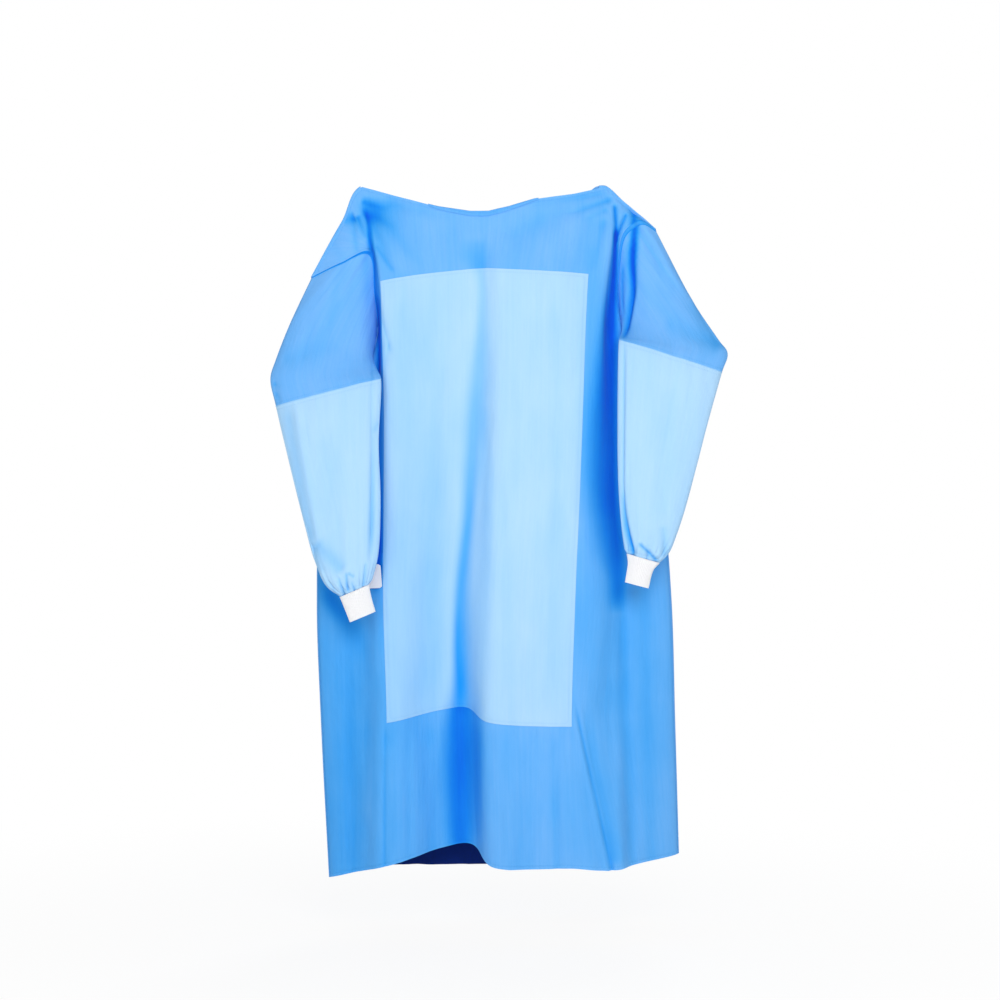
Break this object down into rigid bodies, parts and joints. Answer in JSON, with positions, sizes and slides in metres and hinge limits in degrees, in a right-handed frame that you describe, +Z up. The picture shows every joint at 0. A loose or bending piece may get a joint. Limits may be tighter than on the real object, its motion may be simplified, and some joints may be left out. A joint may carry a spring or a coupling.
{
  "type": "surgical gown",
  "caption": "Long-sleeved wraparound surgical gown held up by its shoulders, with a reinforced front and forearms, knit cuffs, neck binding, belt and transfer card.",
  "frame": {"origin": "midway between the two points where the shoulders are held", "axes": "+Z up, the gown's front faces -Y, the wearer's left at +X"},
  "size_m": [0.8502, 0.2285, 1.2982],
  "materials": {
    "body_blue": "matte nonwoven",
    "panel_light_blue": "matte nonwoven",
    "binding_blue": "matte nonwoven",
    "knit_white": "ribbed knit",
    "card_white": "uncoated card"
  },
  "bodies": {
    "root": {"front_body": "body_blue", "back_right": "body_blue", "back_left": "body_blue", "sleeve_upper_right_front": "body_blue", "sleeve_upper_right_back": "body_blue", "sleeve_upper_left_front": "body_blue", "sleeve_upper_left_back": "body_blue", "sleeve_forearm_right_front": "panel_light_blue", "sleeve_forearm_right_back": "panel_light_blue", "sleeve_wrist_right_front": "panel_light_blue", "sleeve_wrist_right_back": "panel_light_blue", "sleeve_forearm_left_front": "panel_light_blue", "sleeve_forearm_left_back": "panel_light_blue", "cuff_right": "knit_white", "cuff_left": "knit_white", "front_reinforcement": "panel_light_blue", "neck_binding": "binding_blue", "neck_tab_left": "card_white", "neck_patch_right": "card_white", "belt": "body_blue", "transfer_card": "card_white"}
  },
  "joints": []
}
